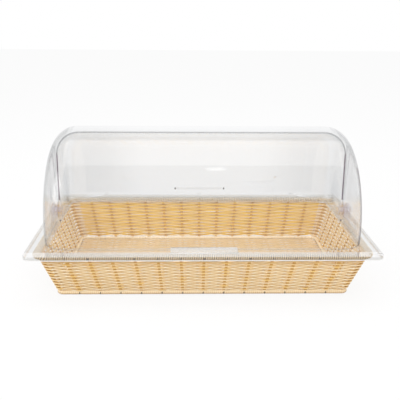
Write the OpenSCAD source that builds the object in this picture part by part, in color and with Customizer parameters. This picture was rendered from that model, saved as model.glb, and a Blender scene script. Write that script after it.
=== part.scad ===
// Countertop bread display bin: a woven poly-rattan basket of the full gastronorm size,
// with a lift-off clear cover whose two nested quarter drums roll open to the front and to the back.
// Origin: centre of the bin on the surface it stands on. +X runs along the bin, +Y to the back, +Z up.

/* [Basket] */
// Length over the wrapped rim
rim_length = 530; // [500:1:536]
// Width over the wrapped rim
rim_width = 325; // [300:1:331]
// Height of the top of the rim
rim_top = 77.6; // [65:0.1:100]
// Width of the wrapped rim, seen from above
rim_band = 13; // [11:0.5:14]
// Height of the wrapped rim
rim_height = 8; // [7:0.5:10]
// Outer corner radius of the rim
rim_corner = 24; // [22:1:30]
// Length of the basket over its foot border
foot_length = 467.2; // [440:0.2:470]
// Width of the basket over its foot border
foot_width = 262.2; // [240:0.2:265]
// Width of the foot border
foot_band = 6; // [5:0.5:7]
// Height of the foot border
foot_height = 7; // [5:0.5:8]
// Thickness of the steel rim wire
rim_wire_d = 5; // [3:0.5:5.5]
// Thickness of the steel foot wire
foot_wire_d = 3; // [2:0.5:3.5]

/* [Weave] */
// Courses of weaving between the foot border and the rim
courses = 22; // [12:1:24]
// Thickness of a weaving strand
strand_t = 1.2; // [0.8:0.1:1.4]
// Width of an upright stake
stake_w = 4.5; // [3:0.5:5]
// Thickness of an upright stake
stake_t = 2; // [1.5:0.1:2.2]
// Stakes in each long wall, an odd number
long_stakes = 13; // [9:4:17]
// Stakes in each short wall, an odd number
short_stakes = 7; // [3:4:11]
// Plain weaving between the last stake span of a wall and its corner
plain_end = 8; // [5:0.5:10]
// Corner radius of the woven wall at the foot
foot_turn = 10; // [9:0.5:12]
// Corner radius of the woven wall under the rim
rim_turn = 17; // [15:0.5:20]

/* [Cover frame] */
// Length over the frame's skirt
frame_length = 550; // [545:1:560]
// Width over the frame's skirt
frame_width = 345; // [340:1:355]
// Outer corner radius of the frame
frame_corner = 11; // [8:1:14]
// Thickness of the flange
flange_t = 2.4; // [2:0.1:3]
// Depth of the skirt below the top of the flange
skirt_depth = 6.8; // [5:0.1:8]
// Length of the opening under the shells
opening_length = 488; // [470:1:488]
// Width of the opening under the shells
opening_width = 266; // [250:1:266]
// Height of the three lugs on the back edge
lug_height = 4.5; // [3:0.5:6]

/* [Shells] */
// Height of the hinge axis above the flange
axis_rise = 21.6; // [20:0.1:24]
// Outer radius of the front shell, which rolls over the rear one
front_radius = 146; // [144:0.5:150]
// Length of the front shell over its end plates
front_length = 505.6; // [500:0.2:506]
// Outer radius of the rear shell
rear_radius = 137.6; // [130:0.2:138]
// Length of the rear shell over its end plates
rear_length = 495.2; // [490:0.2:496]
// Wall thickness of both shells
shell_t = 2.5; // [2:0.1:3]
// Radius that blends the arch of the front shell into its end plates
end_blend = 42; // [30:1:50]
// How far the front shell laps over the rear one at the top
lap = 12; // [8:1:14]
// Gap between a closed shell and the flange
seat_gap = 0.2; // [0.1:0.1:0.5]

/* [Handles] */
// Length of the front pull lip
front_pull_length = 103; // [80:1:130]
// How far the front pull lip stands out from the shell
front_pull_reach = 22; // [15:1:24]
// Length of the rear pull rail
rear_pull_length = 97; // [80:1:130]
// How far the rear pull rail stands out, less than the gap between the shells
rear_pull_reach = 4.6; // [3:0.1:4.8]

/* [Hinges] */
// Diameter of the hinge pins
pin_d = 8; // [6:0.5:9]
// Radial clearance of a shell on its pin
pin_clearance = 0.08; // [0.03:0.01:0.1]
// Diameter of the round head of the ears that carry the pins
ear_d = 25; // [22:0.5:28]
// Thickness of an ear
ear_t = 4; // [3:0.5:5]
// Diameter of the spacing washers
washer_d = 20; // [16:0.5:22]

/* [Hidden] */
$fn = 96;

cane_colour = [0.87, 0.74, 0.52];
stake_colour = [0.80, 0.66, 0.42];
band_colour = [0.90, 0.80, 0.64];
steel_colour = [0.62, 0.62, 0.64];
clear_colour = [0.86, 0.88, 0.90, 0.35];
pin_colour = [0.78, 0.76, 0.84, 0.7];

// The woven wall: its middle surface leans out from the foot to the rim.
sway = stake_t / 2 + strand_t / 2 + 0.1;              // middle of a strand to the middle of the wall
wall_t = 2 * sway + strand_t;
weave_low = foot_height;
weave_high = rim_top - rim_height;
foot_half = [foot_length / 2 - 4.3, foot_width / 2 - 4.3];  // middle surface at the height of the table
under_rim = 9.5;                                     // middle surface in from the rim's outer edge
lean = atan((rim_length / 2 - under_rim - foot_half[0]) / weave_high);
course_h = (weave_high - weave_low) / courses;
strand_lap = 0.2;                                    // neighbouring courses press into each other
bow_out = sway + 0.7;                                // a strand that passes outside a corner stake
bow_in = -sway - 0.2;                                // a strand that passes inside it
turn_rate = (rim_turn - foot_turn) / weave_high;
function wall_half(z) = [for (h = foot_half) h + z * tan(lean)];
function turn(z) = foot_turn + z * turn_rate;
function straight_half(z, long) = wall_half(z)[long ? 0 : 1] - turn(z);
function stake_pitch(z, long) = 2 * (straight_half(z, long) - plain_end) / (long ? long_stakes : short_stakes);

// The floor lies inside the foot border.
mat_bottom = 2;
mat_t = 2.5;
groove_w = 0.8;
groove_deep = 0.5;
groove_pitch = 6.6;

// The cover's levels and its hinge axis.
flange_bottom = rim_top;
flange_top = flange_bottom + flange_t;
axis_z = flange_top + axis_rise;
skirt_t = 2;
rib_drop = 5;                                        // locating rib that drops inside the rim
rib_gap = 1.2;
lug = [8, 4];
lug_x = 184;

// Places along the hinge axis, from the middle of the bin outwards.
front_plate = front_length / 2;
rear_plate = rear_length / 2;
boss_d = 24;
boss_t = 1;
play = 0.1;                                          // end play of each washer
cap_t = 3.6;
cap_in = rear_plate - shell_t - boss_t - play - cap_t;
ear_in = front_plate + 1.8;
ear_out = ear_in + ear_t;
head_t = 3.4;
head_d = 14;
ear_foot = 44;
pin_fit = 0.05;

// Distance from the outer arch to the hinge axis along the bottom edge of a shell.
shell_drop = axis_rise - seat_gap;
nose_r = 18;                                         // rounded nose of an end plate round the pin
front_guide_x = 154.5;                               // low guide pads moulded on both shells
rear_guide_x = 147;
guide_w = 6;
guide_h = 0.8;

// ---------------------------------------------------------------- shared shapes

// A flat ring with rounded corners, outer size by inner size.
module ring_2d(size, corner, band) {
  difference() {
    rounded_2d(size, corner);
    rounded_2d([size[0] - 2 * band, size[1] - 2 * band], max(corner - band, 1));
  }
}

module rounded_2d(size, corner) {
  square([size[0] - 2 * corner, size[1]], center = true);
  square([size[0], size[1] - 2 * corner], center = true);
  for (sx = [-1, 1], sy = [-1, 1])
    translate([sx * (size[0] / 2 - corner), sy * (size[1] / 2 - corner)]) circle(corner);
}

// Section of a wrapped band with the hole that its wire lies in. x = 0 is the middle of the band.
module band_section(band, height, soft, bore) {
  difference() {
    translate([0, height / 2]) rounded_2d([band, height], soft);
    translate([0, height / 2]) circle(d = bore);
  }
}

// A wrapped band round the basket: a straight length on each side and a quarter turn at each corner.
module wrapped_band(size, corner, band, height, soft, bore) {
  r = corner - band / 2;
  reach = [size[0] / 2 - corner, size[1] / 2 - corner];
  for (s = [-1, 1]) {
    translate([0, s * (reach[1] + r), 0]) rotate([90, 0, 90]) translate([0, 0, -reach[0]])
      linear_extrude(2 * reach[0]) band_section(band, height, soft, bore);
    translate([s * (reach[0] + r), 0, 0]) rotate([90, 0, 0]) translate([0, 0, -reach[1]])
      linear_extrude(2 * reach[1]) band_section(band, height, soft, bore);
    for (t = [-1, 1])
      translate([s * reach[0], t * reach[1], 0]) rotate([0, 0, s > 0 ? (t > 0 ? 0 : 270) : (t > 0 ? 90 : 180)])
        rotate_extrude(angle = 90) translate([r, 0]) band_section(band, height, soft, bore);
  }
}

// The steel wire inside a wrapped band, one closed ring.
module wire_ring(size, corner, d, z) {
  reach = [size[0] / 2 - corner, size[1] / 2 - corner];
  translate([0, 0, z]) {
    for (s = [-1, 1]) {
      translate([0, s * size[1] / 2, 0]) rotate([0, 90, 0]) cylinder(d = d, h = 2 * reach[0], center = true);
      translate([s * size[0] / 2, 0, 0]) rotate([90, 0, 0]) cylinder(d = d, h = 2 * reach[1], center = true);
      for (t = [-1, 1])
        translate([s * reach[0], t * reach[1], 0])
          rotate([0, 0, s > 0 ? (t > 0 ? 0 : 270) : (t > 0 ? 90 : 180)])
            rotate_extrude(angle = 90) translate([corner, 0]) circle(d = d);
    }
  }
}

// ---------------------------------------------------------------- the woven basket

module rim_wire() {
  inset = rim_band;
  color(steel_colour)
    wire_ring([rim_length - inset, rim_width - inset], rim_corner - inset / 2, rim_wire_d, rim_top - rim_height / 2);
}

module rim_wrap() {
  color(band_colour) translate([0, 0, rim_top - rim_height])
    wrapped_band([rim_length, rim_width], rim_corner, rim_band, rim_height, 3, rim_wire_d + 0.2);
}

module foot_wire() {
  inset = foot_band;
  color(steel_colour)
    wire_ring([foot_length - inset, foot_width - inset], foot_turn + 2 - inset / 2, foot_wire_d, foot_height / 2);
}

module foot_border() {
  color(band_colour)
    wrapped_band([foot_length, foot_width], foot_turn + 2, foot_band, foot_height, 1.5, foot_wire_d + 0.2);
}

// The floor: a mat of flat strips laid side by side, so that its top is grooved along X.
module floor_mat() {
  size = [foot_length - 2 * foot_band, foot_width - 2 * foot_band];
  strips = floor(size[1] / 2 / groove_pitch) - 1;
  color(cane_colour)
    difference() {
      translate([0, 0, mat_bottom]) linear_extrude(mat_t) rounded_2d(size, foot_turn + 3 - foot_band);
      for (i = [-strips : strips])
        translate([0, (i + 0.5) * groove_pitch, mat_bottom + mat_t])
          cube([size[0] + 2, groove_w, 2 * groove_deep], center = true);
    }
}

// Canes that carry the mat from border to border, in line with the stakes of the long walls.
module floor_canes() {
  span = foot_width - 2 * foot_band;
  cane_t = 1.4;
  color(stake_colour)
    for (i = [-(long_stakes - 1) / 2 : (long_stakes - 1) / 2])
      translate([i * stake_pitch(0, true), 0, mat_bottom - cane_t / 2]) cube([stake_w, span, cane_t], center = true);
}

// Path of a strand along a wall: flat where it crosses a stake, then straight over to the other side.
function strand_path(z, long, side) =
  let (
    p = stake_pitch(z, long),
    last = ((long ? long_stakes : short_stakes) - 1) / 2,
    flat = stake_w / 2 + 0.75
  )
  concat(
    [[-straight_half(z, long), 0]],
    [
      for (i = [-last : last], e = [-1, 1])
        [i * p + e * flat, sway * side * ((last - abs(i)) % 2 == 0 ? 1 : -1)]
    ],
    [[straight_half(z, long), 0]]
  );

// One strand of a wall, standing on its lower edge: x along the wall, y outwards.
module wall_strand(z, long, side) {
  path = strand_path(z, long, side);
  n = len(path);
  linear_extrude(course_h / cos(lean) + strand_lap)
    polygon(concat(
      [for (q = path) [q[0], q[1] + strand_t / 2]],
      [for (k = [n - 1 : -1 : 0]) [path[k][0], path[k][1] - strand_t / 2]]
    ));
}

// The courses of one wall. Each leans out with the wall, and its neighbours weave the other way.
module wall_weave(long) {
  color(cane_colour)
    between_borders()
      for (j = [0 : courses - 1]) {
        z = weave_low + j * course_h + strand_t / 2 * sin(lean);
        translate([0, wall_half(z)[long ? 1 : 0], z]) rotate([-lean, 0, 0])
          wall_strand(z, long, j % 2 == 0 ? 1 : -1);
      }
}

// Cuts its children off level on top of the foot border and under the rim.
module between_borders() {
  intersection() {
    union() children();
    translate([-rim_length / 2, 0, weave_low]) cube([rim_length, rim_length / 2, weave_high - weave_low]);
  }
}

// One strand round a corner, standing on its lower edge: an arc that bows out round the corner stake or cuts
// in behind it, from the end of one wall to the start of the next. Its centre lies on the diagonal.
module corner_strand(r, bow) {
  shift = (bow * bow + 2 * r * bow) / (2 * sqrt(2) * (r + bow) - 2 * r);
  bend = [r + bow - sqrt(2) * shift, 0];
  up = [sin(lean), cos(lean)];
  out = [cos(lean), -sin(lean)] * strand_t / 2;
  low = -up * 0.4;
  high = up * (course_h / cos(lean) - 0.1);
  start = bow > 0 ? -40 : 5;
  intersection() {
    translate([shift, shift, 0]) rotate([0, 0, start]) rotate_extrude(angle = 90 - 2 * start)
      polygon([bend - out + low, bend + out + low, bend + out + high, bend - out + high]);
    translate([0, 0, -2]) cube([2 * rim_turn, 2 * rim_turn, 10]);
  }
}

// The courses round one corner. They lap downwards, because each starts further out than the one below it.
module corner_weave() {
  color(cane_colour)
    between_borders()
      for (j = [0 : courses - 1]) {
        z = weave_low + j * course_h + strand_t / 2 * sin(lean);
        translate([straight_half(z, true), straight_half(z, false), z])
          corner_strand(turn(z), j % 2 == 0 ? bow_in : bow_out);
      }
}

// The stake in a corner leans out along the diagonal.
module corner_stake() {
  steep = atan(sqrt(2) * (tan(lean) - turn_rate) + turn_rate);
  translate([straight_half(weave_low, true), straight_half(weave_low, false), weave_low]) rotate([0, 0, -45])
    translate([0, turn(weave_low), 0]) rotate([-steep, 0, 0])
      translate([-stake_w / 2, -stake_t / 2, -5]) cube([stake_w, stake_t, weave_high + 12]);
}

// Upright stakes of one wall, fanned out, cut off level on the border and under the rim. The long walls
// have the corner stakes too.
module wall_stakes(long) {
  count = long ? long_stakes : short_stakes;
  length = (weave_high - weave_low) / cos(lean);
  color(stake_colour)
    between_borders() {
      if (long)
        for (m = [0, 1]) mirror([m, 0, 0]) corner_stake();
      for (i = [-(count - 1) / 2 : (count - 1) / 2]) {
        foot_x = i * stake_pitch(weave_low, long);
        fan = atan((i * stake_pitch(weave_high, long) - foot_x) / length);
        translate([foot_x, wall_half(weave_low)[long ? 1 : 0], weave_low]) rotate([-lean, 0, 0])
          rotate([0, fan, 0]) translate([-stake_w / 2, -stake_t / 2, -5]) cube([stake_w, stake_t, length + 12]);
      }
    }
}

module front_wall_weave() {
  rotate([0, 0, 180]) wall_weave(true);
}

module back_wall_weave() {
  wall_weave(true);
}

module left_wall_weave() {
  rotate([0, 0, 90]) wall_weave(false);
}

module right_wall_weave() {
  rotate([0, 0, -90]) wall_weave(false);
}

module back_right_corner_weave() {
  corner_weave();
}

module front_left_corner_weave() {
  rotate([0, 0, 180]) corner_weave();
}

module back_left_corner_weave() {
  mirror([1, 0, 0]) corner_weave();
}

module front_right_corner_weave() {
  mirror([0, 1, 0]) corner_weave();
}

module front_stakes() {
  rotate([0, 0, 180]) wall_stakes(true);
}

module back_stakes() {
  wall_stakes(true);
}

module left_stakes() {
  rotate([0, 0, 90]) wall_stakes(false);
}

module right_stakes() {
  rotate([0, 0, -90]) wall_stakes(false);
}

// ---------------------------------------------------------------- the clear cover

// One ear of the frame: a post on the flange with a round head that the pin passes through.
module ear() {
  translate([ear_in, 0, 0]) rotate([90, 0, 90])
    linear_extrude(ear_t)
      difference() {
        union() {
          translate([0, axis_z]) circle(d = ear_d);
          polygon([
            [-ear_foot / 2, flange_bottom + 0.5], [ear_foot / 2, flange_bottom + 0.5],
            [ear_d / 2, axis_z], [-ear_d / 2, axis_z]
          ]);
        }
        translate([0, axis_z]) circle(d = pin_d + 2 * pin_fit);
      }
}

// Flange, outer skirt and locating rib in one moulding, with the ears and the lugs on its back edge.
module cover_frame() {
  rib = [rim_length - 2 * rim_band - 2 * rib_gap, rim_width - 2 * rim_band - 2 * rib_gap];
  color(clear_colour) {
    difference() {
      translate([0, 0, flange_top - skirt_depth]) linear_extrude(skirt_depth)
        rounded_2d([frame_length, frame_width], frame_corner);
      translate([0, 0, flange_top - skirt_depth - 1]) linear_extrude(skirt_depth + 1 - flange_t)
        rounded_2d([frame_length - 2 * skirt_t, frame_width - 2 * skirt_t], frame_corner - skirt_t);
      translate([0, 0, flange_bottom - 1]) linear_extrude(flange_t + 2)
        rounded_2d([opening_length, opening_width], 12);
    }
    translate([0, 0, flange_bottom - rib_drop]) linear_extrude(rib_drop + 0.5)
      ring_2d(rib, rim_corner - rim_band - rib_gap, skirt_t);
    for (m = [0, 1]) mirror([m, 0, 0]) ear();
    for (x = [-lug_x, 0, lug_x])
      translate([x - lug[0] / 2, frame_width / 2 - 1 - lug[1], flange_top - 0.5])
        cube([lug[0], lug[1], lug_height + 0.5]);
  }
}

// Half section of a drum along the hinge axis: x is the radius, y runs along the axis.
module drum_section(half, r, blend) {
  translate([0, -half]) square([r - blend, 2 * half]);
  translate([0, -half + blend]) square([r, 2 * (half - blend)]);
  for (s = [-1, 1]) translate([r - blend, s * (half - blend)]) circle(blend);
}

module drum_wall(half, r, blend) {
  difference() {
    drum_section(half, r, blend);
    drum_section(half - shell_t, r - shell_t, blend - shell_t);
    translate([-2 * r, -2 * half]) square([2 * r, 4 * half]);
  }
}

// Side view of a shell that covers the side of negative Y, seen along X and centred on the hinge axis.
module shell_side(r, lap_over) {
  far = r + 5;
  translate([-far, -shell_drop]) square([far, far + shell_drop]);
  if (lap_over > 0) square([lap_over, far]);
  circle(nose_r);
}

// A quarter drum with end plates, with a boss and a bore for the pin in each plate.
module shell(half, r, blend, lap_over) {
  difference() {
    intersection() {
      union() {
        rotate([0, 90, 0]) rotate_extrude($fn = 180) drum_wall(half, r, blend);
        for (m = [0, 1]) mirror([m, 0, 0])
          translate([half - shell_t - boss_t, 0, 0]) rotate([0, 90, 0]) cylinder(d = boss_d, h = boss_t + 0.5);
      }
      translate([-half - 1, 0, 0]) rotate([90, 0, 90]) linear_extrude(2 * half + 2) shell_side(r, lap_over);
    }
    rotate([0, 90, 0]) cylinder(d = pin_d + 2 * pin_clearance, h = 2 * half + 4, center = true);
  }
}

// Two moulded guide pads that follow the arch from the foot of a shell up to an angle above the hinge axis.
module guide_pads(x, r, to) {
  from = -asin((shell_drop - 0.4) / r);
  for (s = [-1, 1])
    translate([s * x, 0, 0]) rotate([0, 90, 0]) rotate([0, 0, 270 - to])
      rotate_extrude(angle = to - from, $fn = 180)
        translate([r, -guide_w / 2]) square([guide_h + 0.4, guide_w]);
}

// The front shell has its pads inside, the rear shell outside, so that they face the same gap.
module front_shell() {
  color(clear_colour) translate([0, 0, axis_z]) {
    shell(front_plate, front_radius, end_blend, lap);
    guide_pads(front_guide_x, front_radius - shell_t - guide_h, 3);
  }
}

module rear_shell() {
  color(clear_colour) translate([0, 0, axis_z])
    mirror([0, 1, 0]) {
      shell(rear_plate, rear_radius, end_blend - 2, 0);
      guide_pads(rear_guide_x, rear_radius - 0.4, 10.5);
    }
}

// The front pull: a finger lip bonded to the foot of the shell, with a bead along its edge.
module front_handle() {
  root = [flange_top + 1.2, flange_top + 6];
  tip_y = -front_radius - front_pull_reach + 2;
  tip_z = flange_top + 3.6;
  bead = 2;
  color(clear_colour)
    difference() {
      translate([-front_pull_length / 2, 0, 0]) rotate([90, 0, 90]) linear_extrude(front_pull_length) {
        polygon([
          [-front_radius + 4, root[0]], [-front_radius + 4, root[1]], [-front_radius - 3, tip_z + 1.4],
          [tip_y, tip_z + 1.2], [tip_y, tip_z - 1.2], [-front_radius - 2, root[0]]
        ]);
        translate([tip_y, tip_z]) circle(bead);
      }
      translate([0, 0, axis_z]) rotate([0, 90, 0])
        cylinder(r = front_radius + pin_fit, h = front_length, center = true, $fn = 180);
    }
}

// The rear pull: a low rail that passes under the front shell when either shell rolls open.
module rear_handle() {
  rail_h = 4;
  color(clear_colour)
    difference() {
      translate([0, rear_radius + rear_pull_reach - rail_h / 2, axis_z])
        rotate([0, 90, 0]) cylinder(d = rail_h, h = rear_pull_length, center = true);
      translate([0, 0, axis_z]) rotate([0, 90, 0])
        cylinder(r = rear_radius + pin_fit, h = rear_length, center = true, $fn = 180);
    }
}

// A round piece on the right-hand hinge axis, from one place along it to another.
module on_axis(from, to, d) {
  translate([from, 0, axis_z]) rotate([0, 90, 0]) cylinder(d = d, h = to - from);
}

module pivot_pin() {
  color(pin_colour) {
    on_axis(cap_in + 0.6, ear_out + 0.5, pin_d);
    on_axis(ear_out, ear_out + head_t - 1, head_d);
    translate([ear_out + head_t - 1, 0, axis_z]) rotate([0, 90, 0]) cylinder(d1 = head_d, d2 = head_d - 2, h = 1);
  }
}

// The cap is blind: its bore ends short of its inner face, which is all that shows inside the cover.
module pin_cap() {
  color(pin_colour)
    difference() {
      on_axis(cap_in - 0.6, cap_in + cap_t, head_d);
      on_axis(cap_in + 0.55, cap_in + cap_t + 1, pin_d + 2 * pin_fit);
    }
}

module washer(from, to) {
  color(pin_colour)
    difference() {
      on_axis(from + play, to - play, washer_d);
      on_axis(from, to, pin_d + 2 * pin_fit);
    }
}

module left_pivot_pin() {
  mirror([1, 0, 0]) pivot_pin();
}

module right_pivot_pin() {
  pivot_pin();
}

module left_pin_cap() {
  mirror([1, 0, 0]) pin_cap();
}

module right_pin_cap() {
  pin_cap();
}

module left_outer_washer() {
  mirror([1, 0, 0]) washer(front_plate, ear_in);
}

module right_outer_washer() {
  washer(front_plate, ear_in);
}

module left_inner_washer() {
  mirror([1, 0, 0]) washer(rear_plate, front_plate - shell_t - boss_t);
}

module right_inner_washer() {
  washer(rear_plate, front_plate - shell_t - boss_t);
}

rim_wire();
rim_wrap();
foot_wire();
foot_border();
floor_mat();
floor_canes();
front_wall_weave();
back_wall_weave();
left_wall_weave();
right_wall_weave();
front_left_corner_weave();
front_right_corner_weave();
back_left_corner_weave();
back_right_corner_weave();
front_stakes();
back_stakes();
left_stakes();
right_stakes();
cover_frame();
front_shell();
front_handle();
rear_shell();
rear_handle();
left_pivot_pin();
right_pivot_pin();
left_pin_cap();
right_pin_cap();
left_outer_washer();
right_outer_washer();
left_inner_washer();
right_inner_washer();
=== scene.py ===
"""Countertop bread display bin: the looks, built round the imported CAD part.

Lengths are in millimetres while a shape is worked out, and in metres once it is a mesh.
"""

import math

import bmesh
import bpy
import numpy as np
from mathutils import Matrix, Vector

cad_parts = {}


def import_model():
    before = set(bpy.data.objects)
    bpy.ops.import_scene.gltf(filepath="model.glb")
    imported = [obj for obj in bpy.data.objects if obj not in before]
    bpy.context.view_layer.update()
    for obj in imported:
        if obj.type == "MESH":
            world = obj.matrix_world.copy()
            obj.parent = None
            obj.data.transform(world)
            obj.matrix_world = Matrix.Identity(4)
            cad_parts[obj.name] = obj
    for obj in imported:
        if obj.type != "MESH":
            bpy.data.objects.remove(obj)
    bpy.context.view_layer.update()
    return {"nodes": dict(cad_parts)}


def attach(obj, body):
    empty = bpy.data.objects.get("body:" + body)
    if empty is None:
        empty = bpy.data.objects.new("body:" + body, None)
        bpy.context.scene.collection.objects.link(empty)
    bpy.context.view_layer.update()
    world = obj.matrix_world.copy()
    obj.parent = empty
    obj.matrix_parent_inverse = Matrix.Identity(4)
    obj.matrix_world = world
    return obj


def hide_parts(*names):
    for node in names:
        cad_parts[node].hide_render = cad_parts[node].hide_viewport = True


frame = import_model()
scene = bpy.context.scene
scene.view_settings.view_transform = "Standard"
scene.cycles.transparent_max_bounces = 32  # the cover is many clear walls deep
MM = 0.001

# ------------------------------------------------------------------ sizes shared with the CAD source, mm

RIM_TOP, RIM_H, RIM_BAND, RIM_CORNER = 77.6, 8.0, 13.0, 24.0
RIM_HALF = (265.0, 162.5)
FOOT_H, FOOT_BAND, FOOT_CORNER = 7.0, 6.0, 12.0
FOOT_HALF = (233.6, 131.1)
WALL_FOOT = (229.3, 126.8)  # middle surface of the walls at the height of the table
UNDER_RIM = 9.5  # middle surface in from the rim's outer edge
FOOT_TURN, RIM_TURN = 10.0, 17.0  # corner radius of the woven wall at the foot and under the rim
COURSES = 22
PLAIN_END = 8.0  # plain weaving between the last stake span of a wall and its corner
LONG_STAKES, SHORT_STAKES = 13, 7
WEAVE_LOW, WEAVE_HIGH = FOOT_H, RIM_TOP - RIM_H
LEAN = math.atan((RIM_HALF[0] - UNDER_RIM - WALL_FOOT[0]) / WEAVE_HIGH)
COURSE_H = (WEAVE_HIGH - WEAVE_LOW) / COURSES
AXIS_Z = 101.6
LAP = 12.0  # how far the front shell reaches back over the rear one
FLANGE_TOP, SKIRT_FOOT = 80.0, 73.2
REAR_PULL_HALF = 48.5


def wall_half(z):
    return tuple(h + z * math.tan(LEAN) for h in WALL_FOOT)


def turn(z):
    return FOOT_TURN + z * (RIM_TURN - FOOT_TURN) / WEAVE_HIGH


def stake_pitch(z, long):
    straight = wall_half(z)[0 if long else 1] - turn(z) - PLAIN_END
    return 2 * straight / (LONG_STAKES if long else SHORT_STAKES)


# ------------------------------------------------------------------ mesh helpers


def new_mesh(name, points, faces):
    """A mesh object from points in millimetres. Its four-sided faces shade smoothly, and its caps are flat."""
    mesh = bpy.data.meshes.new(name)
    mesh.from_pydata((np.asarray(points) * MM).tolist(), [], faces)
    mesh.validate()
    mesh.update()
    sides = np.empty(len(mesh.polygons), np.int32)
    mesh.polygons.foreach_get("loop_total", sides)
    mesh.polygons.foreach_set("use_smooth", sides == 4)
    obj = bpy.data.objects.new(name, mesh)
    scene.collection.objects.link(obj)
    return obj


def per_vertex(obj, name, values):
    """A number for each vertex, which the material reads."""
    layer = obj.data.attributes.new(name, "FLOAT", "POINT")
    layer.data.foreach_set("value", np.asarray(values, np.float32).ravel())


def smooth_step(low, high, value):
    t = np.clip((np.asarray(value) - low) / (high - low), 0, 1)
    return t * t * (3 - 2 * t)


def oval(half_across, half_up, sides, square=2.0):
    """A section between an ellipse (2) and a rectangle (large)."""
    t = np.arange(sides) / sides * 2 * math.pi
    c, s = np.cos(t), np.sin(t)
    r = (np.abs(c) ** square + np.abs(s) ** square) ** (-1 / square)
    return np.stack([half_across * r * c, half_up * r * s], -1)


def closed_tube(points, across, up, section, twist=0):
    """Vertices and faces of a closed loop with a section of (across, up) offsets at each point.
    With a twist the section's last side joins the first side that many points further on."""
    n, m = len(points), len(section)
    verts = points[:, None, :] + across[:, None, :] * section[:, :1] + up[:, None, :] * section[:, 1:]
    k, j = np.meshgrid(np.arange(n), np.arange(m), indexing="ij")
    step = np.where(j == m - 1, twist, 0)
    a = k * m + j
    b = ((k + step) % n) * m + (j + 1) % m
    c = ((k + 1 + step) % n) * m + (j + 1) % m
    d = ((k + 1) % n) * m + j
    return verts.reshape(-1, 3), np.stack([a, d, c, b], -1).reshape(-1, 4)


def rods(name, centres, across, section):
    """Rods with closed ends as one mesh: a line of centres for each, all of one length, and a section of
    (across, up) offsets."""
    n, m = len(centres[0]), len(section)
    offsets = section[:, :1] * np.array(across) + section[:, 1:] * np.array([0.0, 0.0, 1.0])
    k, j = np.meshgrid(np.arange(n - 1), np.arange(m), indexing="ij")
    a, b = k * m + j, k * m + (j + 1) % m
    sides = np.stack([a, a + m, b + m, b], -1).reshape(-1, 4)
    caps = np.array([range(m), range(n * m - 1, n * m - m - 1, -1)])
    verts = np.concatenate([centre[:, None, :] + offsets for centre in centres]).reshape(-1, 3)
    faces = []
    for start in range(0, len(verts), n * m):
        faces += (sides + start).tolist() + (caps + start).tolist()
    return new_mesh(name, verts, faces)


def ring_path(half, corner, step):
    """Points round a rounded rectangle, anticlockwise from above, and its length. Each row holds x and y, the
    outward normal, the distance along the path and which stretch it is on: 0 back, 2 left, 4 front and 6 right
    wall, with the corners between. Step gives the spacing for each stretch."""
    lx, ly = half[0] - corner, half[1] - corner
    arc = math.pi / 2 * corner
    stretches = [
        ("wall", (lx, half[1]), (-1, 0), (0, 1), 2 * lx),
        ("corner", (-lx, ly), math.pi / 2, None, arc),
        ("wall", (-half[0], ly), (0, -1), (-1, 0), 2 * ly),
        ("corner", (-lx, -ly), math.pi, None, arc),
        ("wall", (-lx, -half[1]), (1, 0), (0, -1), 2 * lx),
        ("corner", (lx, -ly), 1.5 * math.pi, None, arc),
        ("wall", (half[0], -ly), (0, 1), (1, 0), 2 * ly),
        ("corner", (lx, ly), 0.0, None, arc),
    ]
    rows, before = [], 0.0
    for index, (kind, at, way, out, length) in enumerate(stretches):
        n = max(2, round(length / step(index)))
        for i in range(n):
            u = length * i / n
            if kind == "wall":
                rows.append((at[0] + way[0] * u, at[1] + way[1] * u, *out, before + u, index))
            else:
                c, s = math.cos(way + u / corner), math.sin(way + u / corner)
                rows.append((at[0] + corner * c, at[1] + corner * s, c, s, before + u, index))
        before += length
    return np.array(rows), before


# ------------------------------------------------------------------ the woven walls

SWAY, CORNER_SWAY = 1.75, 2.1  # a strand's middle line to the middle of the wall, at a stake
PER_SPAN = 9  # points of a strand from one stake to the next
CORNER_STEP = 1.6
KNOTS = 61  # places on a course between which its height and its colours drift
TONE_KNOTS = 24
DRIFT = 0.14  # how much a course's height wanders
LOOSE_LIFT = (1.5, 0.7)  # how far the lowest strands of the back wall can bow up between two stakes
BACK = 0  # the back wall's stretch in ring_path

STRAND = oval(0.95, 1.44, 14, 2.05)
FACE_OUT = STRAND[:, 0] / np.abs(STRAND[:, 0]).max()  # 1 on the outer face of a strand, -1 on the inner one
# Near the top and bottom of a strand's section, where painted shade between courses lies.
EDGE = smooth_step(0.5, 0.95, np.abs(STRAND[:, 1]) / np.abs(STRAND[:, 1]).max())


def stake_stations(z):
    """Distances along a course of all its stakes, in order from the right-hand end of the back wall."""
    arc = math.pi / 2 * turn(z)
    stations, sways, before = [], [], 0.0
    for long in (True, False, True, False):
        p = stake_pitch(z, long)
        count = LONG_STAKES if long else SHORT_STAKES
        length = count * p + 2 * PLAIN_END
        stations += [before + PLAIN_END + (i + 0.5) * p for i in range(count)] + [before + length + arc / 2]
        sways += [SWAY] * count + [CORNER_SWAY]
        before += length + arc
    return np.array(stations), np.array(sways), before


def course_sway(at, z, side):
    """How far a strand stands outside the middle of the wall: over one stake, under the next, and nearly
    straight in between, as a stiff strand lies."""
    stations, sways, length = stake_stations(z)
    signed = sways * side * np.where(np.arange(len(stations)) % 2 == 0, 1, -1)
    around = np.concatenate([[stations[-1] - length], stations, [stations[0] + length]])
    signed = np.concatenate([signed[-1:], signed, signed[:1]])
    k = np.clip(np.searchsorted(around, at, side="right") - 1, 0, len(around) - 2)
    part = (at - around[k]) / (around[k + 1] - around[k])
    share = 0.4 * (1 + np.cos(np.pi * part)) / 2 + 0.6 * (1 - part)
    return signed[k] * share + signed[k + 1] * (1 - share)


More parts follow.
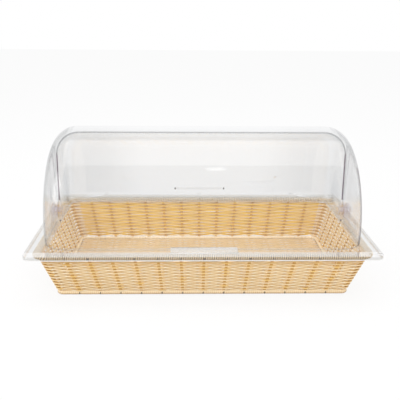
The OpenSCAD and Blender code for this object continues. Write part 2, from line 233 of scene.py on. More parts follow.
def course_line(j, rng):
    """Course j from the foot: its rows of ring_path and their length, how far its strand stands out, and its
    points with the directions across and up the wall."""
    z = WEAVE_LOW + (j + 0.5) * COURSE_H
    pitch = stake_pitch(z, True)
    steps = (pitch / PER_SPAN, CORNER_STEP, stake_pitch(z, False) / PER_SPAN, CORNER_STEP)
    rows, length = ring_path(wall_half(z), turn(z), lambda i: steps[i % 4])
    x, y, nx, ny, at, stretch = rows.T
    flat = np.ones(len(rows))
    out = np.stack([nx * math.cos(LEAN), ny * math.cos(LEAN), -math.sin(LEAN) * flat], -1)
    up = np.stack([nx * math.sin(LEAN), ny * math.sin(LEAN), math.cos(LEAN) * flat], -1)
    sway = course_sway(at, z, 1 if j % 2 == 0 else -1)
    drift = rng.normal(0, DRIFT, KNOTS)
    drift[-1] = drift[0]
    lift = np.interp(at, np.linspace(0, length, KNOTS), drift)
    if j < len(LOOSE_LIFT):
        loose = rng.uniform(0.25, 1.0, LONG_STAKES + 1)[np.clip((at / pitch).astype(int), 0, LONG_STAKES)]
        span = np.abs(np.sin(np.pi * (at - PLAIN_END) / pitch + math.pi / 2))
        lift += LOOSE_LIFT[j] * loose * span ** 0.5 * (stretch == BACK)
    points = np.stack([x, y, z * flat], -1) + out * sway[:, None] + up * lift[:, None]
    return rows, length, sway, points, out, up


def course_shades(j, rows, length, sway, rng, hue):
    """What the material reads at each point of course j, for each point of the strand's section."""
    at, on_back = rows[:, 4], rows[:, 5] == BACK
    knots = np.linspace(0, length, KNOTS)
    outer = FACE_OUT > 0
    tone = np.interp(at, np.linspace(0, length, TONE_KNOTS), rng.normal(0, 0.4, TONE_KNOTS)) + rng.normal(0, 0.5)

    # Where the strand stands proud of its neighbours, and where it dips behind them into painted shade.
    proud = FACE_OUT * sway[:, None] / SWAY
    behind = np.where(outer, smooth_step(0.2, 0.75, -proud), smooth_step(0.65, 1.0, -proud))

    # Painted shade: outside, the rim shades the top courses. Painted highlight: inside, most light falls on the
    # lowest of the back wall.
    under_rim = np.where(outer, np.interp(j, [COURSES - 6, COURSES - 1], [0.0, 0.45]), 0)
    lit_outside = np.interp(j, [COURSES - 5, COURSES - 1], [1.0, 0.2])
    lit_inside = np.where(on_back, max(0.0, 1 - j / 6), 0.4)[:, None]
    lit = np.where(outer, lit_outside, lit_inside)
    # Painted shade under the rim, drawn in the mark colour on the outer face of the top courses.
    dusk = np.interp(j, [COURSES - 3, COURSES - 2, COURSES - 1], [0.0, 0.35, 0.9])

    # Painted bounce light makes the inner face amber, most on the back wall; a strand is amber too where it bends
    # over a stake.
    inside = smooth_step(0.0, 0.8, -FACE_OUT) * np.where(on_back, 1.0, 0.35)[:, None]
    at_stake = smooth_step(0.62, 0.8, np.abs(sway) / SWAY) * np.interp(at, knots, hue.uniform(0.3, 1.0, KNOTS))
    at_stake = at_stake[:, None]
    dusk = dusk * np.interp(at, knots, hue.uniform(0.5, 1.0, KNOTS))[:, None]
    return {
        "tone": np.repeat(tone[:, None], len(STRAND), 1),
        # painted shade where the strand dips behind, at its edges, and on the top courses under the rim
        "painted_shade": np.clip(np.maximum(behind, 0.5 * EDGE) + under_rim, 0, 1),
        # painted amber bounce light on the inner face, and amber where the strand bends over a stake
        "inner": inside + 0.8 * at_stake * smooth_step(0.0, 0.5, FACE_OUT),
        # painted highlight where the strand stands proud, outside and on the lowest courses inside the back wall
        "painted_highlight": lit * smooth_step(0.1, 0.4, proud) * (1 - EDGE) * (1 - at_stake),
        # painted shade under the rim on the top courses' outer face
        "mark": dusk * outer,
    }


def woven_courses():
    """The strands of all courses, each one loop round the basket."""
    rng, hue = np.random.RandomState(11), np.random.RandomState(23)
    verts, faces, shades, start = [], [], [], 0
    for j in range(COURSES):
        rows, length, sway, points, out, up = course_line(j, rng)
        loop, sides = closed_tube(points, out, up, STRAND)
        verts.append(loop)
        faces.append(sides + start)
        start += len(loop)
        shades.append(course_shades(j, rows, length, sway, rng, hue))
    obj = new_mesh("woven_courses", np.concatenate(verts), np.concatenate(faces).tolist())
    for name in shades[0]:
        per_vertex(obj, name, np.concatenate([shade[name].ravel() for shade in shades]))
    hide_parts("front_wall_weave", "back_wall_weave", "left_wall_weave", "right_wall_weave",
                "front_left_corner_weave", "front_right_corner_weave",
                "back_left_corner_weave", "back_right_corner_weave")
    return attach(obj, "basket")


# ------------------------------------------------------------------ the wrapped bands and the floor

GROOVE = (0.0, 0.0, 0.4, 1.0, 1.0, 0.4)  # how deep each point of a turn lies in the groove to the next turn
STAKE_MARK = 1.8  # width of the mark where a stake comes out
STRIP_W, STRIP_GAP, STRIP_HALF_T = 6.5, 0.12, 0.5
STRIP_SWAY, PER_CANE = 0.6, 6  # how far a strip rises over a cane, and its points from one cane to the next
CANE_HALF = (2.25, 0.36)  # half the width and the thickness of a cane
FLOOR_Z = 2.65  # middle of the floor's weave
MAT_CORNER, MAT_GAP = 6.5, 0.1  # corner of the floor's outline, and the gap between a strip's end and it


def at_stakes(points, z):
    """Which points of a band lie at a stake, for the band that meets the woven wall at height z."""
    found = np.zeros(len(points), bool)
    for long, count in ((True, LONG_STAKES), (False, SHORT_STAKES)):
        along, across = (0, 1) if long else (1, 0)
        on_wall = np.abs(points[:, across]) > wall_half(z)[across] * 0.8
        for i in range(count):
            place = (i - (count - 1) / 2) * stake_pitch(z, long)
            found |= on_wall & (np.abs(points[:, along] - place) < STAKE_MARK / 2)
    return found


def wound_band(name, node, half, corner, z, section, wrap, depth, stakes_z, shades, seed):
    """A strand wound round and round a band: each turn is a low ridge, with a mark where a stake comes out.
    The shades give the painted shade in its grooves and on its underside, and how much darker its outer side is."""
    path, length = ring_path(half, corner, lambda i: 0.5 if i % 2 else 2.0)
    turns = round(length / wrap)
    per_turn, m = len(GROOVE), len(section)
    n = turns * per_turn
    along = np.arange(n) / n * length
    stations = np.append(path[:, 4], length)
    x, y, nx, ny = (np.interp(along, stations, np.append(path[:, c], path[0, c])) for c in range(4))
    size = np.hypot(nx, ny)
    nx, ny = nx / size, ny / size
    points = np.stack([x, y, np.full(n, z)], -1)
    out = np.stack([nx, ny, np.zeros(n)], -1)
    up = np.tile([0.0, 0.0, 1.0], (n, 1))
    ahead = np.stack([-ny, nx, np.zeros(n)], -1)

    rng = np.random.RandomState(seed)
    groove = np.tile(GROOVE, turns)
    ridge = -groove * depth + np.repeat(rng.normal(0, depth * 0.12, turns), per_turn)
    scale = 1 + np.minimum(ridge, 0)[:, None] / np.abs(section).max()
    verts, faces = closed_tube(points, out * scale, up * scale, section, twist=per_turn)
    verts += (ahead[:, None, :] * (np.arange(m) / m * wrap)[:, None]).reshape(-1, 3)
    obj = new_mesh(name, verts, faces.tolist())

    # Painted shade in the grooves and on the underside; the outer side is darker by its own share.
    below = smooth_step(0.1, 0.9, -section[:, 1] / np.abs(section[:, 1]).max())
    outer = (section[:, 0] > 0.5 * section[:, 0].max()) & (section[:, 1] < 1.0)
    in_groove, under, outside = shades
    painted_shade = in_groove * groove[:, None] + under * below + outside * outer
    per_vertex(obj, "tone", np.repeat(rng.normal(0, 0.7, turns), per_turn * m))
    per_vertex(obj, "painted_shade", np.clip(painted_shade, 0, 1))
    per_vertex(obj, "mark", at_stakes(verts, stakes_z) & np.tile(outer, n))
    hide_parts(node)
    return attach(obj, "basket")


def floor_weave():
    """The floor: flat strips along the bin that pass over and under the canes that carry them."""
    half = (FOOT_HALF[0] - FOOT_BAND, FOOT_HALF[1] - FOOT_BAND)
    pitch = stake_pitch(WEAVE_LOW, True)
    count = int(2 * half[1] // STRIP_W)
    x = np.linspace(-half[0], half[0], math.ceil(2 * half[0] / pitch * PER_CANE))
    centres = []
    for i in range(count):
        y = (i - (count - 1) / 2) * STRIP_W
        into_corner = max(0.0, abs(y) + STRIP_W / 2 - (half[1] - MAT_CORNER))
        reach = half[0] - MAT_GAP - (MAT_CORNER - math.sqrt(MAT_CORNER ** 2 - into_corner ** 2))
        xs = np.clip(x, -reach, reach)
        side = 1 if i % 2 == 0 else -1
        z = FLOOR_Z + side * STRIP_SWAY * np.cos(np.pi * xs / pitch)
        centres.append(np.stack([xs, np.full(len(xs), y), z], -1))
    section = oval((STRIP_W - STRIP_GAP) / 2, STRIP_HALF_T, 10, 4.0)
    strips = rods("floor_strips", centres, (0.0, 1.0, 0.0), section)
    tones = np.random.RandomState(5).normal(0, 0.3, count)
    per_vertex(strips, "tone", np.repeat(tones, len(x) * len(section)))
    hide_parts("floor_mat")
    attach(strips, "basket")

    ends = np.linspace(-half[1], half[1], 40)
    places = [(i - (LONG_STAKES - 1) / 2) * pitch for i in range(LONG_STAKES)]
    centres = [np.stack([np.full(len(ends), place), ends, np.full(len(ends), FLOOR_Z)], -1) for place in places]
    canes = rods("floor_cane_set", centres, (-1.0, 0.0, 0.0), oval(*CANE_HALF, 10, 3.5))
    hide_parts("floor_canes")
    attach(canes, "basket")
    return strips, canes


# ------------------------------------------------------------------ the clear cover


def clear_copy(name, node, body, cuts=()):
    """A clear moulding: the CAD solid with its points merged, so that its curves shade smoothly.
    Its faces may be divided along planes (axis, place), so that each side can have a material of its own."""
    mesh = frame["nodes"][node].data.copy()
    mesh.name = name
    obj = bpy.data.objects.new(name, mesh)
    scene.collection.objects.link(obj)
    shape = bmesh.new()
    shape.from_mesh(mesh)
    bmesh.ops.remove_doubles(shape, verts=shape.verts, dist=2e-6)
    for axis, place in cuts:
        parts = shape.verts[:] + shape.edges[:] + shape.faces[:]
        normal = Vector([float(i == axis) for i in range(3)])
        bmesh.ops.bisect_plane(shape, geom=parts, dist=1e-6, plane_co=normal * place * MM, plane_no=normal)
    shape.to_mesh(mesh)
    shape.free()
    mesh.update()
    mesh.polygons.foreach_set("use_smooth", [True] * len(mesh.polygons))
    mesh.set_sharp_from_angle(angle=math.radians(28))
    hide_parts(node)
    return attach(obj, body)


def dress(obj, mat, *others):
    """One material for a piece, and others for the faces that a rule on (normal, centre) picks; the last rule
    that picks a face wins."""
    obj.data.materials.clear()
    obj.data.materials.append(mat)
    for index, (other, rule) in enumerate(others, 1):
        obj.data.materials.append(other)
        for face in obj.data.polygons:
            if rule(face.normal, face.center / MM):
                face.material_index = index


# ------------------------------------------------------------------ shader helpers

WHITE = (1.0, 1.0, 1.0, 1.0)


def srgb(*channels):
    """A colour as shaders take it, from channels of 0 to 255."""
    shares = [c / 255 for c in channels]
    return tuple(c / 12.92 if c <= 0.04045 else ((c + 0.055) / 1.055) ** 2.4 for c in shares) + (1,)


def grey(level, blue=0.0):
    return (level, level + blue / 2, level + blue, 1)


def lilac(level):
    return (level, level - 0.014, level + 0.016, 1)


def material(name):
    mat = bpy.data.materials.new(name)
    mat.use_nodes = True
    nodes = mat.node_tree.nodes
    nodes.clear()
    return mat, nodes, mat.node_tree.links, nodes.new("ShaderNodeOutputMaterial")


def put(links, value, socket):
    """A socket's value: a number, a tuple or another node's output."""
    if isinstance(value, (int, float, tuple)):
        socket.default_value = value
    else:
        links.new(value, socket)


def math_node(nodes, links, operation, *values):
    node = nodes.new("ShaderNodeMath")
    node.operation = operation
    for value, socket in zip(values, node.inputs):
        put(links, value, socket)
    return node.outputs[0]


def blend(nodes, links, factor, first, second):
    """A colour between two colours."""
    node = nodes.new("ShaderNodeMix")
    node.data_type = "RGBA"
    for key, value in (("Factor", factor), ("A", first), ("B", second)):
        put(links, value, node.inputs[key])
    return node.outputs["Result"]


def ramp(nodes, links, value, low, high, kind="SMOOTHSTEP"):
    """How far a value is from low to high, from 0 to 1."""
    node = nodes.new("ShaderNodeMapRange")
    node.interpolation_type = kind
    node.inputs["From Min"].default_value = low
    node.inputs["From Max"].default_value = high
    links.new(value, node.inputs["Value"])
    return node.outputs[0]


def noise(nodes, links, scale, detail):
    """Noise that is fixed to the piece."""
    coords = nodes.new("ShaderNodeTexCoord")
    node = nodes.new("ShaderNodeTexNoise")
    node.inputs["Scale"].default_value = scale
    node.inputs["Detail"].default_value = detail
    links.new(coords.outputs["Object"], node.inputs["Vector"])
    return node.outputs["Fac"]


def attribute(nodes, name):
    """The value that each vertex carries under this name."""
    node = nodes.new("ShaderNodeAttribute")
    node.attribute_name = name
    return node.outputs["Fac"]


def mixed(nodes, links, share, first, second):
    """A shader between two shaders."""
    node = nodes.new("ShaderNodeMixShader")
    links.new(share, node.inputs["Fac"])
    links.new(first.outputs[0], node.inputs[1])
    links.new(second.outputs[0], node.inputs[2])
    return node.outputs[0]


def looked_at(nodes, links):
    """1 for a ray from the camera, also by way of a mirror or a clear piece, and 0 for one that gathers light."""
    path = nodes.new("ShaderNodeLightPath").outputs
    through = math_node(nodes, links, "MAXIMUM", path["Is Glossy Ray"], path["Is Transmission Ray"])
    return math_node(nodes, links, "MAXIMUM", path["Is Camera Ray"], through)


# ------------------------------------------------------------------ materials


def cane(name, colours, roughness, coat=0.0, inner=None, painted_highlight=None, mark=None):
    """Extruded cane plastic: faint blotches, a fine grain and a brightness of each strand's own. The colours are
    its two tones, a strand's edge (at half the painted shade) and the painted shade between strands (at 1). Inner is
    another set of tone, edge and shade for the inner face, amber for painted light bounced inside the basket; the
    crest colour paints a highlight where a strand stands proud, and mark is the colour of a stake's end or of the
    painted shade under the rim."""
    base, deep, edge, shade = (srgb(*colour) for colour in colours)
    mat, nodes, links, out = material(name)
    level = math_node(nodes, links, "MULTIPLY_ADD", attribute(nodes, "tone"), 0.2, noise(nodes, links, 22, 2))
    tone = blend(nodes, links, ramp(nodes, links, level, 0.1, 0.9, "LINEAR"), deep, base)
    if inner:
        inside = attribute(nodes, "inner")
        tone, edge, shade = (blend(nodes, links, inside, colour, srgb(*other))
                             for colour, other in zip((tone, edge, shade), inner))
    if painted_highlight:
        # Painted highlight where the strand stands proud.
        tone = blend(nodes, links, attribute(nodes, "painted_highlight"), tone, srgb(*painted_highlight))
    painted_shade = attribute(nodes, "painted_shade")
    # Painted shade: half way to the edge colour at a strand's edges, and on to the shade colour where strands dip
    # behind.
    colour = blend(nodes, links, ramp(nodes, links, painted_shade, 0.0, 0.5, "LINEAR"), tone, edge)
    colour = blend(nodes, links, ramp(nodes, links, painted_shade, 0.5, 1.0, "LINEAR"), colour, shade)
    if mark:
        colour = blend(nodes, links, attribute(nodes, "mark"), colour, srgb(*mark))
    bump = nodes.new("ShaderNodeBump")
    bump.inputs["Strength"].default_value = 0.12
    bump.inputs["Distance"].default_value = 0.0004
    links.new(noise(nodes, links, 240, 3), bump.inputs["Height"])
    shader = nodes.new("ShaderNodeBsdfPrincipled")
    shader.inputs["Roughness"].default_value = roughness
    shader.inputs["Specular IOR Level"].default_value = 0.5
    shader.inputs["Coat Weight"].default_value = coat
    shader.inputs["Coat Roughness"].default_value = 0.12
    links.new(colour, shader.inputs["Base Color"])
    links.new(bump.outputs["Normal"], shader.inputs["Normal"])
    links.new(shader.outputs[0], out.inputs["Surface"])
    return mat


def steel(name):
    mat, nodes, links, out = material(name)
    shader = nodes.new("ShaderNodeBsdfPrincipled")
    shader.inputs["Base Color"].default_value = srgb(170, 170, 172)
    shader.inputs["Metallic"].default_value = 1.0
    shader.inputs["Roughness"].default_value = 0.35
    links.new(shader.outputs[0], out.inputs["Surface"])
    return mat


def toward_ends(nodes, links, near, far, low, high):
    """How far a point lies towards an end of the bin and above a height, from 0 to 1; limits in metres."""
    coords = nodes.new("ShaderNodeTexCoord")
    place = nodes.new("ShaderNodeSeparateXYZ")
    links.new(coords.outputs["Object"], place.inputs[0])
    outwards = ramp(nodes, links, math_node(nodes, links, "ABSOLUTE", place.outputs["X"]), near, far)
    return math_node(nodes, links, "MULTIPLY", outwards, ramp(nodes, links, place.outputs["Z"], low, high))


def clear_plastic(name, face_on, edge_on, power=4.0, gloss=0.02, least=0.0, index=1.49, knee=None, shy=None,
                  mirrored=True, ends=None):
    """Clear moulded plastic: it passes most light, more tinted where it is seen along its wall, and both of its
    faces mirror the room, more at a low angle. Light that falls on the basket comes straight through it.
    A knee sets the range of low angles over which a bend goes from one tint to the other. Least is the smallest
    share that is mirrored; with shy, a range of low angles, it only comes in over that range. A piece that isn't
    mirrored in its neighbours leaves their sheen whole. Ends gives the limits for toward_ends and the tint there,
    a painted darker reflection towards the ends of the bin."""
    mat, nodes, links, out = material(name)
    path = nodes.new("ShaderNodeLightPath").outputs
    lighting = math_node(nodes, links, "MAXIMUM", path["Is Shadow Ray"], path["Is Diffuse Ray"])
    if not mirrored:
        lighting = math_node(nodes, links, "MAXIMUM", lighting, path["Is Glossy Ray"])
    weight = nodes.new("ShaderNodeLayerWeight")
    weight.inputs["Blend"].default_value = 0.5
    angle = weight.outputs["Facing"]
    low_angle = ramp(nodes, links, angle, *knee) if knee else math_node(nodes, links, "POWER", angle, power)
    if ends:
        face_on = blend(nodes, links, toward_ends(nodes, links, *ends[0]), face_on, ends[1])
    tint = blend(nodes, links, low_angle, face_on, edge_on)
    through = nodes.new("ShaderNodeBsdfTransparent")
    links.new(blend(nodes, links, lighting, tint, WHITE), through.inputs["Color"])
    mirror = nodes.new("ShaderNodeBsdfGlossy")
    mirror.inputs["Color"].default_value = WHITE
    mirror.inputs["Roughness"].default_value = gloss

    # A ray that leaves the plastic meets the inverse of its index.
    leaving = nodes.new("ShaderNodeNewGeometry").outputs["Backfacing"]
    fresnel = nodes.new("ShaderNodeFresnel")
    links.new(math_node(nodes, links, "MULTIPLY_ADD", leaving, 1 / index - index, index), fresnel.inputs["IOR"])
    if shy:
        least = math_node(nodes, links, "MULTIPLY", ramp(nodes, links, angle, *shy), least)
    share = math_node(nodes, links, "MAXIMUM", fresnel.outputs[0], least)
    share = math_node(nodes, links, "MULTIPLY", share, math_node(nodes, links, "SUBTRACT", 1.0, lighting))
    links.new(mixed(nodes, links, share, through, mirror), out.inputs["Surface"])
    return mat


# ------------------------------------------------------------------ floor, light and camera


def white_floor(size=6000.0, drop=0.0002, albedo=0.86, shown=0.86):
    """A white sweep: to whoever looks at it, it glows by the share shown, and it lights the bin as paper does."""
    corners = [(-size, -size, 0), (size, -size, 0), (size, size, 0), (-size, size, 0)]
    obj = new_mesh("studio_floor", corners, [(0, 1, 2, 3)])
    obj.location.z = -drop
    mat, nodes, links, out = material("studio_floor")
    diffuse = nodes.new("ShaderNodeBsdfDiffuse")
    diffuse.inputs["Color"].default_value = (albedo, albedo, albedo, 1)
    glow = nodes.new("ShaderNodeEmission")
    glow.inputs["Color"].default_value = WHITE
    glow.inputs["Strength"].default_value = 1.0
    share = math_node(nodes, links, "MULTIPLY", looked_at(nodes, links), shown)
    links.new(mixed(nodes, links, share, diffuse, glow), out.inputs["Surface"])
    obj.data.materials.append(mat)


def world(level):
    """White all round to whoever looks at it, and light of the given level."""
    studio = bpy.data.worlds.new("studio")
    scene.world = studio
    studio.use_nodes = True
    nodes, links = studio.node_tree.nodes, studio.node_tree.links
    nodes.clear()
    out = nodes.new("ShaderNodeOutputWorld")
    back = nodes.new("ShaderNodeBackground")
    back.inputs["Color"].default_value = WHITE
    strength = math_node(nodes, links, "MULTIPLY_ADD", looked_at(nodes, links), 1.0 - level, level)
    links.new(strength, back.inputs["Strength"])
    links.new(back.outputs[0], out.inputs["Surface"])


def softbox(name, at, aim, size, power, mirrored=True):
    light = bpy.data.lights.new(name, "AREA")
    light.shape = "RECTANGLE"
    light.size, light.size_y = size
    light.energy = power
    obj = bpy.data.objects.new(name, light)
    scene.collection.objects.link(obj)
    obj.location = at
    obj.rotation_mode = "QUATERNION"
    obj.rotation_quaternion = (Vector(aim) - Vector(at)).to_track_quat("-Z", "Y")
    obj.visible_glossy = mirrored


def camera(at, pitch, yaw, roll, focal_px, picture_px=400, sensor_mm=36):
    """The photograph's view, as a pinhole fitted to its edges. Angles in degrees: down, to the right, and tilt."""
    pitch, yaw, roll = (math.radians(angle) for angle in (pitch, yaw, roll))
    forward = np.array([math.sin(yaw) * math.cos(pitch), math.cos(yaw) * math.cos(pitch), -math.sin(pitch)])
    right = np.array([math.cos(yaw), -math.sin(yaw), 0])
    up = np.cross(right, forward)
    x = right * math.cos(roll) + up * math.sin(roll)
    y = -right * math.sin(roll) + up * math.cos(roll)
    data = bpy.data.cameras.new("camera")
    data.sensor_width = sensor_mm
    data.lens = focal_px / picture_px * sensor_mm
    obj = bpy.data.objects.new("camera", data)
    scene.collection.objects.link(obj)
    obj.matrix_world = Matrix([[x[i], y[i], -forward[i], at[i]] for i in range(3)] + [[0, 0, 0, 1]])
    scene.camera = obj


# ------------------------------------------------------------------ face groups of the cover

BOSS_REACH, PLATE_REACH = 13.5, 14.0  # bosses lie within the first of the axis, end plates beyond the second
BEND_REACH = 92.0  # the bends between arch and end plates lie further from the axis than this
PLATE_X = 200.0  # the end plates lie beyond this
# Height where the painted dark reflection on the right bend stops.
DARK_TOP = AXIS_Z + 96  # the dark bend ends here
CROWN_LOW = AXIS_Z + 100  # the paler part of the rear shell's cut edge starts here
LAP_TOP = AXIS_Z + 112  # the front shell's cut edge is picked below this
PAD_X = (140, 160)  # the guide pads lie between these
EAR_X, EAR_LOW = 253.5, FLANGE_TOP + 0.6
SKIRT_EDGE = SKIRT_FOOT + 1.4  # the lit lower edge of the skirt
LEDGE_X, FRONT_LEDGE_Y, REAR_LEDGE_Y = 251.0, -152.5, 100.0
RAIL_TIP_X = REAR_PULL_HALF - 2.5
X, Y, Z = 0, 1, 2


def reach(centre):
    return math.hypot(centre.y, centre.z - AXIS_Z)


def outer_bend(normal, centre):
    out = normal.y * centre.y + normal.z * (centre.z - AXIS_Z)
    return 0.1 < abs(normal.x) < 0.993 and out > 0 and reach(centre) > BEND_REACH


def side_bend(normal, centre):
    return outer_bend(normal, centre) and abs(normal.x) > 0.3


# The part of the right bend that carries the painted dark reflection.
def right_bend(normal, centre):
    return side_bend(normal, centre) and centre.x > 0 and centre.z < DARK_TOP


def end_plate(normal, centre):
    return abs(normal.x) >= 0.985 and reach(centre) > PLATE_REACH and abs(centre.x) > PLATE_X


def boss(normal, centre):
    return reach(centre) < BOSS_REACH


def rear_cut(normal, centre):
    return normal.y < -0.9 and abs(centre.y) < 0.5


def rear_crown(normal, centre):
    return rear_cut(normal, centre) and centre.z > CROWN_LOW


def front_cut(normal, centre):
    return normal.y > 0.9 and abs(centre.y - LAP) < 0.5 and centre.z < LAP_TOP


def pad_side(normal, centre):
    return abs(normal.x) > 0.9 and PAD_X[0] < abs(centre.x) < PAD_X[1]


def shell_foot(normal, centre):
    return normal.z < -0.9 and centre.z < FLANGE_TOP + 1.5


def skirt_foot(normal, centre):
    return centre.z < SKIRT_EDGE and abs(normal.z) < 0.5


def outer_skirt(normal, centre):
    outside = abs(centre.x) > RIM_HALF[0] or abs(centre.y) > RIM_HALF[1]
    return outside and abs(normal.z) < 0.3 and SKIRT_EDGE < centre.z < FLANGE_TOP


def inner_edge(normal, centre):
    inside = abs(centre.x) < RIM_HALF[0] and abs(centre.y) < RIM_HALF[1]
    return inside and abs(normal.z) < 0.3 and centre.z < FLANGE_TOP


def flange_face(normal, centre):
    return normal.z > 0.9 and FLANGE_TOP - 0.5 < centre.z < FLANGE_TOP + 0.5


def front_ledge(normal, centre):
    return flange_face(normal, centre) and centre.y < FRONT_LEDGE_Y


def rear_ledge(normal, centre):
    return flange_face(normal, centre) and centre.y > REAR_LEDGE_Y


def side_ledge(normal, centre):
    beside = abs(centre.x) > LEDGE_X and FRONT_LEDGE_Y < centre.y < REAR_LEDGE_Y
    return flange_face(normal, centre) and beside


def ear(normal, centre):
    return abs(centre.x) > EAR_X and centre.z > EAR_LOW


def pull_front(normal, centre):
    return normal.z < 0.75


def pull_under(normal, centre):
    return normal.z < -0.15


def pull_end(normal, centre):
    return abs(normal.x) > 0.7


def rail_end(normal, centre):
    return abs(centre.x) > RAIL_TIP_X


# ------------------------------------------------------------------ build the basket

courses = woven_courses()
rim = wound_band("wound_rim", "rim_wrap", [half - RIM_BAND / 2 for half in RIM_HALF], RIM_CORNER - RIM_BAND / 2,
                 RIM_TOP - RIM_H / 2, oval(RIM_BAND / 2, RIM_H / 2, 16, 3.2), wrap=3.35, depth=0.8,
                 stakes_z=WEAVE_HIGH, shades=(1.0, 0.25, 0.0), seed=3)
foot = wound_band("wound_foot", "foot_border", [half - FOOT_BAND / 2 for half in FOOT_HALF],
                  FOOT_CORNER - FOOT_BAND / 2, FOOT_H / 2, oval(FOOT_BAND / 2, FOOT_H / 2, 12, 3.0), wrap=3.3,
                  depth=0.3, stakes_z=WEAVE_LOW, shades=(0.3, 0.6, 0.4), seed=4)
strips, canes = floor_weave()

# Painted light in these colours: a highlight where strands stand proud, amber light bounced onto the inner faces,
# and shade between strands and under the rim.
cane_mat = cane("poly_rattan", ((247, 223, 180), (237, 207, 154), (210, 174, 120), (222, 172, 84)), 0.3, coat=0.5,
                inner=((242, 200, 87), (226, 180, 96), (206, 146, 56)), painted_highlight=(255, 244, 218), mark=(124, 107, 82))
# The last colours of the wound bands are painted shade for their grooves and undersides.
band_mat = cane("poly_rattan_wound", ((255, 238, 202), (247, 222, 178), (176, 144, 100), (58, 41, 25)), 0.34,
                coat=0.4, mark=(52, 36, 20))
foot_mat = cane("poly_rattan_foot", ((255, 238, 204), (250, 226, 186), (242, 216, 172), (190, 150, 104)), 0.34,
                coat=0.4, mark=(66, 46, 26))
stake_mat = cane("poly_rattan_stake", ((214, 166, 90), (202, 154, 80), (180, 130, 70), (150, 100, 50)), 0.4)
floor_mat = cane("poly_rattan_floor", ((229, 199, 152), (225, 194, 147), (214, 176, 124), (190, 148, 96)), 0.75)
steel_mat = steel("drawn_steel")
for obj, mat in ((courses, cane_mat), (rim, band_mat), (foot, foot_mat), (strips, floor_mat), (canes, floor_mat)):
    dress(obj, mat)
for node in ("front_stakes", "back_stakes", "left_stakes", "right_stakes"):
    dress(frame["nodes"][node], stake_mat)
for node in ("rim_wire", "foot_wire"):
    dress(frame["nodes"][node], steel_mat)

# ------------------------------------------------------------------ build the cover

# Painted reflection: both shells darken towards the ends of the bin.
front_mat = clear_plastic("clear_front_shell", grey(0.963, 0.006), grey(0.98, 0.005),
                          ends=((0.09, 0.19, 0.15, 0.17), grey(0.93, 0.006)))
rear_mat = clear_plastic("clear_rear_shell", grey(0.963, 0.006), grey(0.98, 0.005),
                         ends=((0.09, 0.19, 0.09, 0.1), grey(0.93, 0.006)))
plate_mat = clear_plastic("clear_end_plate", grey(0.965, 0.003), grey(0.87, 0.005))
pale_bend = clear_plastic("clear_bend_left", grey(0.963), grey(0.66, 0.01), knee=(0.45, 0.8))
rear_bend = clear_plastic("clear_bend_rear", grey(0.963), grey(0.86, 0.01), knee=(0.45, 0.8))
soft_bend = clear_plastic("clear_bend_crown", grey(0.963), grey(0.84, 0.01), knee=(0.45, 0.8))
# Painted reflection: the right bend goes almost black at low angles, as if it mirrored a dark side of the room.
painted_reflection_bend = clear_plastic("clear_bend_right", grey(0.963), (0.16, 0.13, 0.14, 1), knee=(0.55, 0.85))
boss_mat = clear_plastic("clear_boss", lilac(0.965), lilac(0.76), 2.0)
cut_mat = clear_plastic("shell_cut_edge", (0.24, 0.18, 0.22, 1), (0.24, 0.18, 0.22, 1))
crown_mat = clear_plastic("shell_crown_edge", grey(0.5, 0.01), grey(0.5, 0.01))
lap_mat = clear_plastic("shell_lap_edge", grey(0.6, 0.01), grey(0.6, 0.01))
brim_mat = clear_plastic("shell_brim_edge", grey(0.8, 0.01), grey(0.7, 0.02))
frame_mat = clear_plastic("clear_frame", (0.965, 0.963, 0.96, 1), grey(0.88, 0.01))
inner_mat = clear_plastic("clear_frame_inner_edge", grey(0.985), grey(0.97))
ledge_mat = clear_plastic("clear_frame_ledge", grey(0.95), grey(0.88, 0.01), gloss=0.16, least=0.58,
                          shy=(0.3, 0.64))
# The side ledges are greyer: painted shade of the cover on them.
side_mat = clear_plastic("clear_frame_side", grey(0.88), grey(0.8, 0.01), gloss=0.1, least=0.3, shy=(0.3, 0.64))
rear_ledge_mat = clear_plastic("clear_frame_rear_ledge", (0.97, 0.95, 0.91, 1), grey(0.92), index=1.15)
# The skirt's grey tint is partly its own and partly painted shade on the rim seen through it.
skirt_mat = clear_plastic("clear_skirt", (0.87, 0.868, 0.86, 1), grey(0.8), gloss=0.05)
lit_mat = clear_plastic("skirt_foot_edge", (0.9, 0.88, 0.86, 1), grey(0.9), 2.0, least=0.75)
ear_mat = clear_plastic("clear_ear", lilac(0.965), lilac(0.84), 2.0)
pull_mat = clear_plastic("clear_pull", (0.97, 0.97, 0.968, 1), grey(0.92, 0.01), gloss=0.22, least=0.6,
                         shy=(0.3, 0.6), mirrored=False)
bead_mat = clear_plastic("clear_pull_bead", grey(0.97), grey(0.92, 0.01), gloss=0.5, least=0.5, mirrored=False)
under_mat = clear_plastic("clear_pull_underside", grey(0.97), grey(0.95), mirrored=False)
end_mat = clear_plastic("clear_pull_end", grey(0.4, 0.02), grey(0.4, 0.02), mirrored=False)
rail_mat = clear_plastic("clear_rail", grey(0.96), grey(0.8, 0.01), mirrored=False)
pin_mat = clear_plastic("clear_pin", grey(0.98, 0.005), lilac(0.93), 2.0)

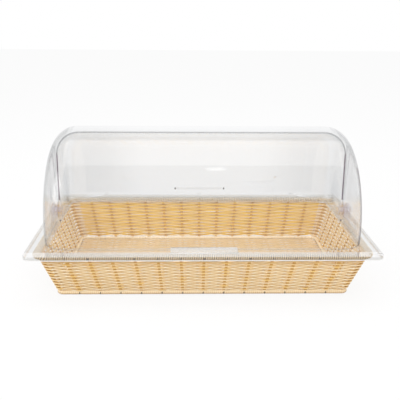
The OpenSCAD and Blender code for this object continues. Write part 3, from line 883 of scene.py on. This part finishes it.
both_edges = [(plate_mat, end_plate), (boss_mat, boss), (brim_mat, pad_side), (brim_mat, shell_foot)]
front_edges = both_edges + [(soft_bend, outer_bend), (pale_bend, side_bend), (painted_reflection_bend, right_bend),
                            (lap_mat, front_cut)]
rear_edges = both_edges + [(rear_bend, side_bend), (cut_mat, rear_cut), (crown_mat, rear_crown)]
pull_edges = [(bead_mat, pull_front), (under_mat, pull_under), (end_mat, pull_end)]
rail_cuts = [(X, -RAIL_TIP_X), (X, RAIL_TIP_X)]
frame_edges = [(inner_mat, inner_edge), (skirt_mat, outer_skirt), (lit_mat, skirt_foot), (ledge_mat, front_ledge),
               (side_mat, side_ledge), (rear_ledge_mat, rear_ledge), (ear_mat, ear)]
frame_cuts = [(Z, SKIRT_EDGE), (Y, FRONT_LEDGE_Y), (Y, REAR_LEDGE_Y), (X, -LEDGE_X), (X, LEDGE_X)]
for name, node, body, slot_name, mat, cuts, others in (
    ("front_shell_clear", "front_shell", "front_cover", "clear_shell", front_mat, (), front_edges),
    ("rear_shell_clear", "rear_shell", "rear_cover", "clear_shell", rear_mat, (), rear_edges),
    ("front_pull_clear", "front_handle", "front_cover", "clear_handle", pull_mat, (), pull_edges),
    ("rear_pull_clear", "rear_handle", "rear_cover", "clear_handle", rail_mat, rail_cuts, [(end_mat, rail_end)]),
    ("frame_clear", "cover_frame", "cover", "clear_frame", frame_mat, frame_cuts, frame_edges),
):
    dress(clear_copy(name, node, body, cuts), mat, *others)
for side in ("left", "right"):
    for piece in ("pivot_pin", "pin_cap", "outer_washer", "inner_washer"):
        node = f"{side}_{piece}"
        dress(clear_copy(node + "_clear", node, "cover"), pin_mat)

# ------------------------------------------------------------------ the studio

white_floor()
world(0.86)
softbox("overhead", (0.05, 0.25, 1.75), (0.05, 0.2, 0), (2.2, 1.4), 8.5)
softbox("side", (-2.0, -0.9, 1.3), (0, 0, 0.1), (1.2, 1.2), 10)
softbox("front", (0.3, -1.9, 1.3), (0, 0.1, 0.04), (1.2, 0.6), 9.0, mirrored=False)
softbox("glint", (0.108, -0.565, 1.63), (0.02, -0.1, 0.2), (0.075, 0.12), 0.052)
camera((-0.0338, -1.1043, 0.4427), pitch=16.328, yaw=1.619, roll=0.454, focal_px=661.16)
